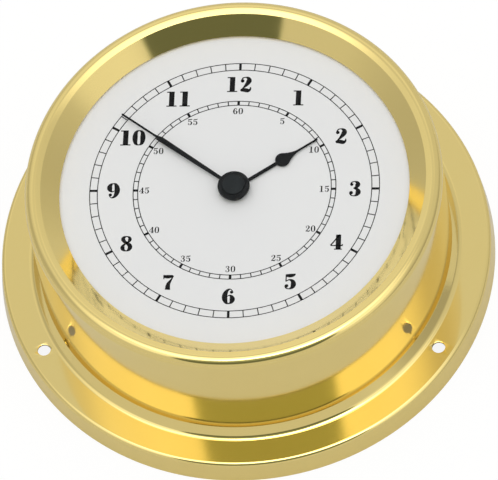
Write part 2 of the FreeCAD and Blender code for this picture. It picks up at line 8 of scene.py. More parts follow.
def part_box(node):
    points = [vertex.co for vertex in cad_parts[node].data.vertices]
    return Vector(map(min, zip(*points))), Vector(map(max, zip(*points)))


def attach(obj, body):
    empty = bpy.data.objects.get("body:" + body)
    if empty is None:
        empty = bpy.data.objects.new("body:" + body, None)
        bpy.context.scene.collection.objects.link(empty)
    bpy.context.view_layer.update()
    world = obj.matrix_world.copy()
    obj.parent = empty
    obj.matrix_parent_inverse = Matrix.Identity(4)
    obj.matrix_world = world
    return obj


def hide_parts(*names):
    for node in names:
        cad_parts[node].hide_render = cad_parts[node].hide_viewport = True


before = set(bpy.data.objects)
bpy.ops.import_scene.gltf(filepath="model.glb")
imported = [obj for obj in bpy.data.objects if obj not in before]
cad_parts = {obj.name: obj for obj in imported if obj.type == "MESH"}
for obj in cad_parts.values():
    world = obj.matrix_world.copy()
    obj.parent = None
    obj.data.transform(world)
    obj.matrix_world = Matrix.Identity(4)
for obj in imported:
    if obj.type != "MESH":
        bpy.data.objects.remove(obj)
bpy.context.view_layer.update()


# The case is one drawn sheet of brass: turned-down rim, wall flange, foot cone, drum, bead and inner cone.
# It was spun and polished on a lathe, so it mirrors its surroundings, with fine rings of polishing lines.
# Three holes in the flange take the wall screws.
mm = 0.001
sheet_t = 0.9
opening_r = 42.0
cone_low_z = 35.75
crease_r = 46.2
crease_z = 39.4
wall_r = 50.1
drum_top_z = 40.4
foot_r = 51.95
foot_z = 8.6
flange_z = 6.3
rim_top_r = 59.3
flange_r = 60.0
bend_radii = [1.1, 1.7, 0.4, 2.22, 0.15]
arc_step = math.radians(6)
hole_r = 1.6
hole_ring_r = 55.0
hole_degs = (90, 210, 330)
weld_gap = 0.0005


def polar(radius, degrees, z=0.0):
    """A point at this distance and angle about the dial's axis, with 3 o'clock at 0."""
    angle = math.radians(degrees)
    return Vector((radius * math.cos(angle), radius * math.sin(angle), z))


def offset_line(points, distance):
    """The line beside an open one, on its left, with mitred corners."""
    ways = [(b - a).normalized() for a, b in zip(points, points[1:])]
    left = [Vector((-way.y, way.x)) for way in ways]
    beside = [points[0] + left[0] * distance]
    for at, before, after in zip(points[1:], left, left[1:]):
        mitre = before + after
        beside.append(at + mitre * (2 * distance / mitre.length_squared))
    return beside + [points[-1] + left[-1] * distance]


def turn_side(before, at, after):
    """Plus one where a line turns left at a corner, and minus one where it turns right."""
    return 1 if (at - before).cross(after - at) > 0 else -1


def rounded_line(points, radii):
    """An open line with each inner corner rounded to its radius, in short steps."""
    line = [points[0]]
    for i, radius in enumerate(radii, start=1):
        before, at, after = points[i - 1], points[i], points[i + 1]
        back = (before - at).normalized()
        ahead = (after - at).normalized()
        half = back.angle(ahead) / 2
        if radius <= 0:
            line.append(at)
            continue
        heart = at + (back + ahead).normalized() * (radius / math.sin(half))
        spoke = at + back * (radius / math.tan(half)) - heart
        turn = turn_side(before, at, after) * (math.pi - 2 * half)
        steps = max(2, math.ceil(abs(turn) / arc_step))
        line += [heart + Matrix.Rotation(turn * k / steps, 2) @ spoke for k in range(steps + 1)]
    return line + [points[-1]]


def mesh_object(name, mesh, sharp_deg=35):
    """A smooth-shaded object from a bmesh, in millimetres, with its flat faces kept flat."""
    bmesh.ops.remove_doubles(mesh, verts=mesh.verts, dist=weld_gap)
    bmesh.ops.recalc_face_normals(mesh, faces=mesh.faces)
    bmesh.ops.scale(mesh, vec=(mm, mm, mm), verts=mesh.verts)
    data = bpy.data.meshes.new(name)
    mesh.to_mesh(data)
    mesh.free()
    data.shade_smooth()
    data.set_sharp_from_angle(angle=math.radians(sharp_deg))
    piece = bpy.data.objects.new(name, data)
    bpy.context.collection.objects.link(piece)
    return piece


def flat_shading(piece):
    """Let large faces keep their own normals, so that a mirror finish has no false bends."""
    modifier = piece.modifiers.new("face_weighted", "WEIGHTED_NORMAL")
    modifier.keep_sharp = True
    modifier.weight = 100


def lathe(name, outline, closed, steps=192, at=(0, 0)):
    """Spin an outline of (radius, height) points about an upright axis."""
    mesh = bmesh.new()
    line = [mesh.verts.new((r, 0, z)) for r, z in outline]
    ends = zip(line, line[1:] + line[:1]) if closed else zip(line, line[1:])
    edges = [mesh.edges.new(pair) for pair in ends]
    bmesh.ops.spin(mesh, geom=line + edges, cent=(0, 0, 0), axis=(0, 0, 1), angle=2 * math.pi, steps=steps)
    bmesh.ops.translate(mesh, vec=(at[0], at[1], 0), verts=mesh.verts)
    piece = mesh_object(name, mesh)
    flat_shading(piece)
    return piece


def linear(hex_colour):
    """Linear colour of an sRGB hex value."""
    parts = [int(hex_colour[i:i + 2], 16) / 255 for i in (1, 3, 5)]
    return [p / 12.92 if p <= 0.04045 else ((p + 0.055) / 1.055) ** 2.4 for p in parts] + [1.0]


def add(tree, kind, settings=None, links=None):
    """Add a shader node with its settings, by attribute or socket, and the outputs that feed it."""
    node = tree.nodes.new("ShaderNode" + kind)
    for key, value in (settings or {}).items():
        if isinstance(key, str) and hasattr(node, key):
            setattr(node, key, value)
        else:
            node.inputs[key].default_value = value
    for key, source in (links or {}).items():
        tree.links.new(source, node.inputs[key])
    return node


def new_finish(name):
    """A material with an empty node tree, and its object coordinates, which are metres on the real piece."""
    material = bpy.data.materials.new(name)
    material.use_nodes = True
    tree = material.node_tree
    tree.nodes.clear()
    place = add(tree, "TexCoord").outputs["Object"]
    return material, tree, place


def axis_distance(tree, place):
    """Distance from the dial's axis, which is the axis that the case and the cap were turned on."""
    flat = add(tree, "VectorMath", {"operation": "MULTIPLY", 1: (1, 1, 0)}, {0: place})
    return add(tree, "VectorMath", {"operation": "LENGTH"}, {0: flat.outputs[0]}).outputs["Value"]


def spun_brass():
    """Polished brass, spun and buffed: a clear warm mirror, with faint rings and a little cloudiness.

    The rings are drawn coarser than real buffing marks, so that a close view can show them.
    """
    buff_line = 0.25 * mm
    cloud = 14 * mm
    material, tree, place = new_finish("polished_spun_brass")
    height = add(tree, "SeparateXYZ", links={0: place})
    rings = add(tree, "CombineXYZ", links={"X": axis_distance(tree, place), "Y": height.outputs["Z"]})
    lines = add(tree, "TexNoise", {"Scale": 1 / buff_line, "Detail": 2.0}, {"Vector": rings.outputs[0]})
    clouds = add(tree, "TexNoise", {"Scale": 1 / cloud, "Detail": 4.0, "Roughness": 0.6}, {"Vector": place})
    colour = add(tree, "Mix", {"data_type": "RGBA", 6: linear("#fbe497"), 7: linear("#f7df8f")},
                 {0: clouds.outputs["Fac"]})
    rough = add(tree, "MapRange", {"From Min": 0.3, "From Max": 0.75, "To Min": 0.06, "To Max": 0.12},
                {"Value": clouds.outputs["Fac"]})
    bump = add(tree, "Bump", {"Strength": 0.006, "Distance": 0.02 * mm}, {"Height": lines.outputs["Fac"]})
    shader = add(tree, "BsdfPrincipled", {"Metallic": 1.0},
                 {"Base Color": colour.outputs[2], "Roughness": rough.outputs[0], "Normal": bump.outputs[0]})
    add(tree, "OutputMaterial", links={"Surface": shader.outputs[0]})
    return material


def case_shell():
    """The sheet, spun from its visible side and a hidden side that lies one thickness behind it."""
    visible = [Vector(p) for p in (
        (flange_r, 0), (rim_top_r, flange_z), (foot_r, flange_z), (wall_r, foot_z), (wall_r, drum_top_z),
        (crease_r, crease_z), (opening_r, cone_low_z))]
    sides = [turn_side(a, b, c) for a, b, c in zip(visible, visible[1:], visible[2:])]
    hidden_radii = [max(r - side * sheet_t, 0) for r, side in zip(bend_radii, sides)]
    hidden = rounded_line(offset_line(visible, sheet_t), hidden_radii)
    hidden[0] = Vector((hidden[0].x, 0))
    return lathe("case_shell_brass", rounded_line(visible, bend_radii) + hidden[::-1], closed=True, steps=256)


def drill_wall_holes(piece):
    """Cut the screw holes through the flange with three round cutters, then drop the cutters."""
    mesh = bmesh.new()
    for degrees in hole_degs:
        spot = Matrix.Translation(polar(hole_ring_r, degrees, flange_z))
        bmesh.ops.create_cone(mesh, cap_ends=True, segments=48, radius1=hole_r, radius2=hole_r,
                              depth=2 * flange_z, matrix=spot)
    cutter = mesh_object("wall_hole_cutter", mesh)
    cut = piece.modifiers.new("wall_holes", "BOOLEAN")
    cut.operation = "DIFFERENCE"
    cut.solver = "EXACT"
    cut.object = cutter
    piece.modifiers.move(len(piece.modifiers) - 1, 0)
    drilled = bpy.data.meshes.new_from_object(piece.evaluated_get(bpy.context.evaluated_depsgraph_get()))
    piece.modifiers.clear()
    piece.data = drilled
    bpy.data.objects.remove(cutter)


brass = spun_brass()
case = case_shell()
bpy.context.view_layer.update()
drill_wall_holes(case)
case.data.materials.append(brass)
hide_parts("case_shell")
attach(case, "case")


# Three brass angles are soldered inside the drum. Zinc-plated pan-head screws go up into them through the
# back cover's slots. The screws are bright, slightly blue metal with a plain driver slot.
head_r = 1.9
head_h = 1.2
crown_in = 0.35
crown_h = 0.12
shoulder_in = 0.1
shoulder_h = 0.4
shank_r = 1.0
tip_chamfer = 0.3
slot_w = 0.5
slot_d = 0.55
slot_l = 4.56
screw_degs = (30, 150, 270)

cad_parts["cover_lugs"].data.materials.clear()
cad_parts["cover_lugs"].data.materials.append(brass)


def zinc_plate():
    """Bright zinc plate on steel: cool grey and a little cloudy."""
    cloud = 1.5 * mm
    material, tree, place = new_finish("zinc_plated_steel")
    clouds = add(tree, "TexNoise", {"Scale": 1 / cloud, "Detail": 4.0}, {"Vector": place})
    colour = add(tree, "Mix", {"data_type": "RGBA", 6: linear("#b9bdc2"), 7: linear("#d2d4d4")},
                 {0: clouds.outputs["Fac"]})
    rough = add(tree, "MapRange", {"To Min": 0.22, "To Max": 0.4}, {"Value": clouds.outputs["Fac"]})
    shader = add(tree, "BsdfPrincipled", {"Metallic": 1.0},
                 {"Base Color": colour.outputs[2], "Roughness": rough.outputs[0]})
    add(tree, "OutputMaterial", links={"Surface": shader.outputs[0]})
    return material


def cover_screw(name, spot, low, high):
    """One screw, head down, with a slot milled across its head."""
    plate_z = low + head_h
    head = [(0, low), (head_r - crown_in, low), (head_r - shoulder_in, low + crown_h),
            (head_r, low + shoulder_h), (head_r, plate_z)]
    shank = [(shank_r, plate_z), (shank_r, high - tip_chamfer), (shank_r - tip_chamfer, high), (0, high)]
    screw = lathe(name, head + shank, closed=False, steps=40, at=spot)
    mesh = bmesh.new()
    place = Matrix.Translation((spot[0], spot[1], low))
    bmesh.ops.create_cube(mesh, size=1.0, matrix=place @ Matrix.Diagonal((slot_l, slot_w, 2 * slot_d, 1)))
    cutter = mesh_object("slot_cutter", mesh)
    cut = screw.modifiers.new("driver_slot", "BOOLEAN")
    cut.solver = "EXACT"
    cut.object = cutter
    screw.modifiers.move(len(screw.modifiers) - 1, 0)
    bpy.context.view_layer.update()
    screw.data = bpy.data.meshes.new_from_object(screw.evaluated_get(bpy.context.evaluated_depsgraph_get()))
    screw.modifiers.clear()
    bpy.data.objects.remove(cutter)
    return screw


zinc = zinc_plate()
screw_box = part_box("cover_screws")
screw_low, screw_high = screw_box[0][2] / mm, screw_box[1][2] / mm
screw_ring_r = -screw_box[0][1] / mm - head_r
for k, degrees in enumerate(screw_degs):
    spot = polar(screw_ring_r, degrees)
    screw = cover_screw("cover_screw_%d" % (k + 1), (spot.x, spot.y), screw_low, screw_high)
    screw.data.materials.append(zinc)
    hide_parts("cover_screws")
    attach(screw, "case")


# The back cover, the movement's housing and its front plate are moulded from black ABS. The moulds are
# spark-eroded, which leaves a fine even grain and a soft sheen. The edges are slightly broken.
sharp_edge_deg = 40


def fine_grained(name, dark, light, grain, roughness):
    """Plastic, resin, ferrite or foam: a fine grain on its skin and a faint mottle in its colour."""
    mottle_w = 9 * mm
    mottle_rough = 0.08
    material, tree, place = new_finish(name)
    skin = add(tree, "TexNoise", {"Scale": 1 / grain, "Detail": 3.0}, {"Vector": place})
    mottle = add(tree, "TexNoise", {"Scale": 1 / mottle_w, "Detail": 3.0}, {"Vector": place})
    colour = add(tree, "Mix", {"data_type": "RGBA", 6: linear(dark), 7: linear(light)},
                 {0: mottle.outputs["Fac"]})
    rough = add(tree, "MapRange", {"To Min": roughness - mottle_rough, "To Max": roughness + mottle_rough},
                {"Value": mottle.outputs["Fac"]})
    bump = add(tree, "Bump", {"Strength": 0.35, "Distance": 0.04 * mm}, {"Height": skin.outputs["Fac"]})
    shader = add(tree, "BsdfPrincipled", {"IOR": 1.53},
                 {"Base Color": colour.outputs[2], "Roughness": rough.outputs[0], "Normal": bump.outputs[0]})
    add(tree, "OutputMaterial", links={"Surface": shader.outputs[0]})
    return material


def dress(name, material, edge=0.0):
    """Give a CAD piece its finish and, where edge is more than zero, break its sharp edges by that width."""
    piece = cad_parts[name]
    piece.data.materials.clear()
    piece.data.materials.append(material)
    if edge:
        bevel = piece.modifiers.new("broken_edges", "BEVEL")
        bevel.width = edge * mm
        bevel.segments = 2
        bevel.limit_method = "ANGLE"
        bevel.angle_limit = math.radians(sharp_edge_deg)
        bevel.harden_normals = False


housing_black = fine_grained("black_moulded_abs", "#141516", "#1d1e20", 0.35 * mm, 0.42)
dress("back_cover", housing_black, 0.2)
dress("movement_base", housing_black, 0.15)
dress("movement_front", housing_black)


# The gears are moulded acetal: milky white, slightly waxy and smooth. The centre arbor with its two gears,
# the rotor's pinion and the minute wheel are natural. The drive and hour wheels are a warmer, ivory batch.
natural_acetal = fine_grained("natural_moulded_acetal", "#dfe1df", "#ebece8", 0.5 * mm, 0.38)
ivory_acetal = fine_grained("ivory_moulded_acetal", "#d9cfb2", "#e4dcc4", 0.5 * mm, 0.38)
for name in ("minute_arbor", "rotor_pinion", "minute_wheel"):
    dress(name, natural_acetal)
for name in ("hour_wheel", "drive_wheel"):
    dress(name, ivory_acetal)


# The setting knob sticks out of the movement's back, where a thumb can turn it. It is red moulded ABS with a
# ridged rim and a soft sheen.
dress("setting_knob", fine_grained("red_moulded_abs", "#a11d1b", "#b52623", 0.4 * mm, 0.4), 0.1)


# The step motor has a sintered ferrite magnet, a stator and a core of bare nickel-iron sheet, and a bobbin of
# natural nylon, wound with enamelled copper wire.
def sheet_steel(name, dark, light, grain, roughness):
    """Rolled sheet: grey metal with fine streaks along X, the way it was rolled."""
    streak_pull = (0.08, 1.0, 1.0)
    material, tree, place = new_finish(name)
    pulled = add(tree, "VectorMath", {"operation": "MULTIPLY", 1: streak_pull}, {0: place})
    streaks = add(tree, "TexNoise", {"Scale": 1 / grain, "Detail": 4.0}, {"Vector": pulled.outputs[0]})
    colour = add(tree, "Mix", {"data_type": "RGBA", 6: linear(dark), 7: linear(light)},
                 {0: streaks.outputs["Fac"]})
    bump = add(tree, "Bump", {"Strength": 0.1, "Distance": 0.02 * mm}, {"Height": streaks.outputs["Fac"]})
    shader = add(tree, "BsdfPrincipled", {"Metallic": 1.0, "Roughness": roughness},
                 {"Base Color": colour.outputs[2], "Normal": bump.outputs[0]})
    add(tree, "OutputMaterial", links={"Surface": shader.outputs[0]})
    return material


def wound_copper():
    """Enamelled copper wire, wound tight: glossy turns, with painted shade in the fine dark gaps between
    them.

    The real wire is as thin as a hair, so its turns are drawn 0.75 mm apart, to show at all.
    """
    wave_radians = 20
    turn_w = 0.12 * mm
    material, tree, place = new_finish("enamelled_copper_wire")
    turns = add(tree, "TexWave", {"bands_direction": "X", "Scale": 1 / (wave_radians * turn_w),
                                  "Distortion": 0.4}, {"Vector": place})
    # The dark colour between the turns is painted shade in the grooves between the wires.
    colour = add(tree, "Mix", {"data_type": "RGBA", 6: linear("#6b2f14"), 7: linear("#c9713d")},
                 {0: turns.outputs["Fac"]})
    bump = add(tree, "Bump", {"Strength": 0.5, "Distance": turn_w / 2}, {"Height": turns.outputs["Fac"]})
    shader = add(tree, "BsdfPrincipled", {"Metallic": 0.8, "Roughness": 0.3},
                 {"Base Color": colour.outputs[2], "Normal": bump.outputs[0]})
    add(tree, "OutputMaterial", links={"Surface": shader.outputs[0]})
    return material


nickel_iron = sheet_steel("rolled_nickel_iron", "#8b8d90", "#a4a6a8", 0.6 * mm, 0.35)
dress("stator", nickel_iron)
dress("coil_core", nickel_iron)
dress("rotor_magnet", fine_grained("sintered_ferrite", "#26262a", "#34353a", 0.2 * mm, 0.55))
dress("coil_bobbin", fine_grained("natural_moulded_nylon", "#dcdad2", "#eae8e2", 0.5 * mm, 0.45))
dress("coil_winding", wound_copper())


# The circuit board is green laminate. It carries a bare chip under a drop of black resin, and the quartz in a
# can of tinned steel.
dress("circuit_board", fine_grained("green_board_laminate", "#17502d", "#226339", 0.8 * mm, 0.4))
dress("chip_cover", fine_grained("black_potting_resin", "#0e0f10", "#17181a", 1.0 * mm, 0.2))
dress("quartz_can", sheet_steel("drawn_tinned_steel", "#b4b6b8", "#cbccce", 1.0 * mm, 0.22))


# The battery contacts are bent from nickel-plated spring steel. A pad of grey adhesive foam presses the
# movement to the dial.
nickel_steel = sheet_steel("nickel_plated_spring_steel", "#b3ada2", "#c9c4ba", 0.5 * mm, 0.28)
dress("plus_contact", nickel_steel)
dress("minus_contact", nickel_steel)
dress("movement_pad", fine_grained("grey_adhesive_foam", "#3a3a3c", "#4b4b4d", 0.6 * mm, 0.85))


# One AA cell in a shrunk plastic sleeve with no lettering: matt charcoal for most of its length and a copper
# band at the plus end. The sleeve curls over both ends of the steel can.
cell_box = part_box("battery")
cell_r = (cell_box[1][2] - cell_box[0][2]) / 2 / mm
cell_left, cell_right = cell_box[0][0] / mm, cell_box[1][0] / mm
cell_y = (cell_box[0][1] + cell_box[1][1]) / 2 / mm
cell_z = (cell_box[0][2] + cell_box[1][2]) / 2 / mm
nub_r = 2.75
nub_l = 1.3
sleeve_curl = 0.7
sleeve_lip = 1.3
mouth_r = cell_r - sleeve_curl - sleeve_lip
film_t = 0.12
film_round = 0.05
can_inset = 0.3
can_overlap = 0.2
can_radii = [0.1, 0.1, 0.2, 0.4]
band_l = 14.0


def cell_sleeve():
    """Shrunk plastic sleeve: satin film in two colours, which meet at a crisp line, and slightly wavy."""
    wave_w = 6 * mm
    material, tree, place = new_finish("shrunk_pet_sleeve")
    along = add(tree, "SeparateXYZ", links={0: place})
    band = add(tree, "Math", {"operation": "GREATER_THAN", 1: (cell_right - nub_l - band_l) * mm},
               {0: along.outputs["X"]})
    film = add(tree, "TexNoise", {"Scale": 1 / wave_w, "Detail": 3.0}, {"Vector": place})
    colour = add(tree, "Mix", {"data_type": "RGBA", 6: linear("#232427"), 7: linear("#b0713c")},
                 {0: band.outputs[0]})
    rough = add(tree, "MapRange", {"To Min": 0.26, "To Max": 0.4}, {"Value": film.outputs["Fac"]})
    bump = add(tree, "Bump", {"Strength": 0.15, "Distance": 0.1 * mm}, {"Height": film.outputs["Fac"]})
    shader = add(tree, "BsdfPrincipled", {"Metallic": 0.35},
                 {"Base Color": colour.outputs[2], "Roughness": rough.outputs[0], "Normal": bump.outputs[0]})
    add(tree, "OutputMaterial", links={"Surface": shader.outputs[0]})
    return material


def laid_along_x(piece):
    """Lay a piece that was spun about +Z from height 0 into the battery bay, with its plus end on +X."""
    minus_end = Matrix.Translation((cell_left * mm, cell_y * mm, cell_z * mm))
    piece.data.transform(minus_end @ Matrix.Rotation(math.pi / 2, 4, "Y"))


can_l = cell_right - cell_left - nub_l
sleeve_outline = [Vector(p) for p in (
    (mouth_r, film_t), (mouth_r, 0), (cell_r, 0), (cell_r, can_l), (mouth_r, can_l),
    (mouth_r, can_l - film_t))]
sleeve_radii = [film_round, sleeve_curl, sleeve_curl, film_round]
sleeve = lathe("battery_sleeve", rounded_line(sleeve_outline, sleeve_radii), closed=True, steps=96)
laid_along_x(sleeve)
sleeve.data.materials.append(cell_sleeve())
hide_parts("battery")
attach(sleeve, "battery_cell")
ends_outline = [Vector(p) for p in (
    (0, can_inset), (mouth_r + can_overlap, can_inset), (mouth_r + can_overlap, can_l - can_inset),
    (nub_r, can_l - can_inset), (nub_r, can_l + nub_l), (0, can_l + nub_l))]
ends = lathe("battery_can_ends", rounded_line(ends_outline, can_radii), closed=False, steps=64)
laid_along_x(ends)
ends.data.materials.append(nickel_steel)
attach(ends, "battery_cell")


# The dial is a disc of aluminium, sprayed with matt off-white lacquer. Its edge is left as blanked. The back
# cover's fins press it against the edge of the inner cone.
dial_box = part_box("dial_plate")
dial_r = dial_box[1][0] / mm
dial_top = dial_box[1][2] / mm
dial_back = dial_box[0][2] / mm
dial_hole_r = 3.05
dial_edge_radii = [0.05, 0.1]


def dial_lacquer():
    """Matt off-white lacquer: even, with a barely visible orange peel."""
    peel = 0.7 * mm
    shading_w = 30 * mm
    material, tree, place = new_finish("matt_off_white_lacquer")
    skin = add(tree, "TexNoise", {"Scale": 1 / peel, "Detail": 2.0}, {"Vector": place})
    shade = add(tree, "TexNoise", {"Scale": 1 / shading_w, "Detail": 2.0}, {"Vector": place})
    colour = add(tree, "Mix", {"data_type": "RGBA", 6: linear("#ededee"), 7: linear("#f0f0f0")},
                 {0: shade.outputs["Fac"]})
    bump = add(tree, "Bump", {"Strength": 0.08, "Distance": 0.02 * mm}, {"Height": skin.outputs["Fac"]})
    shader = add(tree, "BsdfPrincipled", {"Roughness": 0.7, "Specular IOR Level": 0.15},
                 {"Base Color": colour.outputs[2], "Normal": bump.outputs[0]})
    add(tree, "OutputMaterial", links={"Surface": shader.outputs[0]})
    return material


dial_outline = [Vector(p) for p in (
    (dial_hole_r, dial_back), (dial_r, dial_back), (dial_r, dial_top), (dial_hole_r, dial_top))]
dial = lathe("dial_lacquered", rounded_line(dial_outline, dial_edge_radii), closed=True, steps=192)
dial.data.materials.append(dial_lacquer())
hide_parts("dial_plate")
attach(dial, "case")


# The dial's markings are printed on it in one pass of black ink: two railway tracks with sixty divisions
# each, bold hour figures in a fat modern face with hairline serifs, and small figures that count the seconds.
ink_t = 0.02
track_line_w = 0.21
division_w = 0.24
fifth_w = 0.62
minute_track = (32.94, 34.77)
second_track = (23.22, 24.33)
hour_figure_r = 29.0
hour_figure_h = 4.1
second_figure_r = 21.6
second_figure_h = 1.65
figure_w = 0.72
figure_advance = 0.78
thick_stroke = 0.31
small_thick_stroke = 0.2
hairline = 0.055
curve_steps = 6
dot_sides = 20
track_steps = 180

# Each figure stands on a line, one unit high. A stroke is a list of (x, y, weight) from hairline 0 to full 1,
# and a dot is (x, y, radius). A stroke whose ends meet is closed.
figures = {
    "0": ([[(0.36, 0.98, 0.05), (0.18, 0.86, 0.6), (0.13, 0.5, 1), (0.18, 0.14, 0.6), (0.36, 0.02, 0.05),
            (0.54, 0.14, 0.6), (0.59, 0.5, 1), (0.54, 0.86, 0.6), (0.36, 0.98, 0.05)]], []),
    "1": ([[(0.36, 1.0, 1), (0.36, 0.0, 1)], [(0.06, 0.965, 0.05), (0.36, 0.965, 0.05)],
           [(0.06, 0.025, 0.05), (0.66, 0.025, 0.05)]], []),
    "2": ([[(0.09, 0.74, 0), (0.19, 0.92, 0.1), (0.35, 0.975, 0.05), (0.51, 0.9, 0.6), (0.55, 0.73, 1),
            (0.43, 0.5, 0.65), (0.22, 0.25, 0.15), (0.07, 0.07, 0.1)],
           [(0.08, 0.1, 0.4), (0.28, 0.12, 0.75), (0.5, 0.08, 0.75), (0.63, 0.15, 0.3), (0.66, 0.31, 0)]],
          [(0.17, 0.73, 0.11)]),
    "3": ([[(0.09, 0.8, 0), (0.19, 0.93, 0.1), (0.34, 0.975, 0.05), (0.49, 0.9, 0.6), (0.52, 0.76, 0.95),
            (0.44, 0.6, 0.5), (0.28, 0.53, 0)],
           [(0.28, 0.53, 0), (0.48, 0.46, 0.5), (0.56, 0.28, 1), (0.48, 0.1, 0.6), (0.32, 0.025, 0.05),
            (0.15, 0.07, 0.1), (0.06, 0.2, 0)]], [(0.17, 0.78, 0.1), (0.15, 0.23, 0.11)]),
    "4": ([[(0.48, 0.99, 0.95), (0.48, 0.0, 0.95)], [(0.55, 0.99, 0.1), (0.03, 0.28, 0.1)],
           [(0.03, 0.27, 0.05), (0.7, 0.27, 0.05)], [(0.24, 0.025, 0.05), (0.7, 0.025, 0.05)],
           [(0.7, 0.22, 0.05), (0.72, 0.36, 0.05)]], []),
    "5": ([[(0.13, 0.9, 0.5), (0.36, 0.89, 0.7), (0.55, 0.93, 0.5), (0.66, 1.0, 0.05)],
           [(0.12, 0.97, 0.05), (0.12, 0.5, 0.05)],
           [(0.12, 0.52, 0), (0.3, 0.62, 0.1), (0.49, 0.54, 0.6), (0.56, 0.32, 1), (0.48, 0.11, 0.6),
            (0.31, 0.025, 0.05), (0.15, 0.07, 0.1), (0.06, 0.2, 0)]], [(0.16, 0.22, 0.11)]),
    "6": ([[(0.58, 0.85, 0), (0.44, 0.975, 0.05), (0.26, 0.88, 0.5), (0.14, 0.62, 0.95), (0.14, 0.34, 1),
            (0.23, 0.1, 0.55), (0.37, 0.025, 0.05), (0.52, 0.12, 0.6), (0.58, 0.31, 1), (0.52, 0.49, 0.6),
            (0.4, 0.57, 0.05), (0.24, 0.48, 0)]], [(0.52, 0.78, 0.1)]),
    "7": ([[(0.1, 0.9, 0.5), (0.34, 0.88, 0.7), (0.6, 0.93, 0.3)], [(0.07, 1.0, 0.05), (0.07, 0.72, 0.05)],
           [(0.63, 0.95, 0.05), (0.5, 0.68, 0.2), (0.34, 0.38, 0.7), (0.31, 0.02, 1)]], []),
    "8": ([[(0.36, 0.975, 0.05), (0.2, 0.91, 0.5), (0.16, 0.77, 0.75), (0.26, 0.62, 0.55), (0.4, 0.52, 0.5),
            (0.54, 0.4, 0.75), (0.58, 0.25, 0.8), (0.5, 0.09, 0.5), (0.36, 0.025, 0.05), (0.21, 0.09, 0.5),
            (0.14, 0.24, 0.75), (0.2, 0.4, 0.4), (0.34, 0.52, 0.1), (0.48, 0.62, 0.3), (0.55, 0.77, 0.6),
            (0.51, 0.91, 0.4), (0.36, 0.975, 0.05)]], []),
}
figures["9"] = ([[(figure_w - x, 1 - y, w) for x, y, w in figures["6"][0][0]]],
                [(figure_w - x, 1 - y, r) for x, y, r in figures["6"][1]])


def smooth_line(points):
    """Points of a smooth curve through a stroke's own points. A straight stroke stays as it is."""
    if len(points) < 3:
        return [Vector(p) for p in points]
    knots = [Vector(p) for p in points]
    closed = knots[0] == knots[-1]
    before = knots[-2] if closed else 2 * knots[0] - knots[1]
    beyond = knots[1] if closed else 2 * knots[-1] - knots[-2]
    knots = [before] + knots + [beyond]
    curve = []
    for a, b, c, d in zip(knots, knots[1:], knots[2:], knots[3:]):
        for k in range(curve_steps):
            t = k / curve_steps
            curve.append(0.5 * (2 * b + (c - a) * t + (2 * a - 5 * b + 4 * c - d) * t ** 2
                                + (3 * b - a - 3 * c + d) * t ** 3))
    return curve + [knots[-2]]


def add_strip(mesh, left, right):
    """A strip of quads between two rows of points, lying on the dial."""
    rows = [[mesh.verts.new((p.x, p.y, dial_top + ink_t)) for p in row] for row in (left, right)]
    for k in range(len(left) - 1):
        mesh.faces.new((rows[0][k], rows[0][k + 1], rows[1][k + 1], rows[1][k]))


def add_stroke(mesh, stroke, thick, size, start):
    """One pen stroke of a figure, whose width follows its weights."""
    line = smooth_line(stroke)
    left, right = [], []
    for k, at in enumerate(line):
        way = line[min(k + 1, len(line) - 1)] - line[max(k - 1, 0)]
        if line[0].xy == line[-1].xy and k in (0, len(line) - 1):
            way = line[1] - line[-2]
        side = Vector((-way.y, way.x)).normalized()
        half = (hairline + max(at.z, 0) * (thick - hairline)) / 2
        left.append(start + size * (at.xy + side * half))
        right.append(start + size * (at.xy - side * half))
    add_strip(mesh, left, right)


def add_dot(mesh, centre, radius):
    """The round end of a stroke, as one face."""
    ring = [centre + radius * polar(1, 360 * k / dot_sides).xy for k in range(dot_sides)]
    mesh.faces.new([mesh.verts.new((p.x, p.y, dial_top + ink_t)) for p in ring])


def add_number(mesh, text, ring_r, degrees, size, thick):
    """An upright number, centred on its place on the dial."""
    middle = polar(ring_r, degrees).xy
    width = figure_advance * size * len(text)
    for k, figure in enumerate(text):
        start = middle + Vector((figure_advance * size * k - width / 2, -size / 2))
        strokes, dots = figures[figure]
        for stroke in strokes:
            add_stroke(mesh, stroke, thick, size, start)
        for x, y, radius in dots:
            add_dot(mesh, start + size * Vector((x, y)), size * radius * thick / thick_stroke)


def add_track(mesh, radii):
    """Two thin circles and sixty divisions between them, every fifth one bold."""
    for radius in radii:
        turns = [360 * k / track_steps for k in range(track_steps + 1)]
        add_strip(mesh, [polar(radius - track_line_w / 2, a) for a in turns],
                  [polar(radius + track_line_w / 2, a) for a in turns])
    for k in range(60):
        width = fifth_w if k % 5 == 0 else division_w
        side = polar(width / 2, 6 * k + 90)
        inner, outer = polar(radii[0], 6 * k), polar(radii[1], 6 * k)
        add_strip(mesh, [inner + side, outer + side], [inner - side, outer - side])


def screen_ink():
    """Screen-printed black ink: dense, matt, and a little uneven where the mesh lifted."""
    mesh_pitch = 0.12 * mm
    material, tree, place = new_finish("screen_printed_black_ink")
    cover = add(tree, "TexNoise", {"Scale": 1 / mesh_pitch, "Detail": 2.0}, {"Vector": place})
    colour = add(tree, "Mix", {"data_type": "RGBA", 6: linear("#08080a"), 7: linear("#17171a")},
                 {0: cover.outputs["Fac"]})
    shader = add(tree, "BsdfPrincipled", {"Roughness": 0.65, "Specular IOR Level": 0.2},
                 {"Base Color": colour.outputs[2]})
    add(tree, "OutputMaterial", links={"Surface": shader.outputs[0]})
    return material


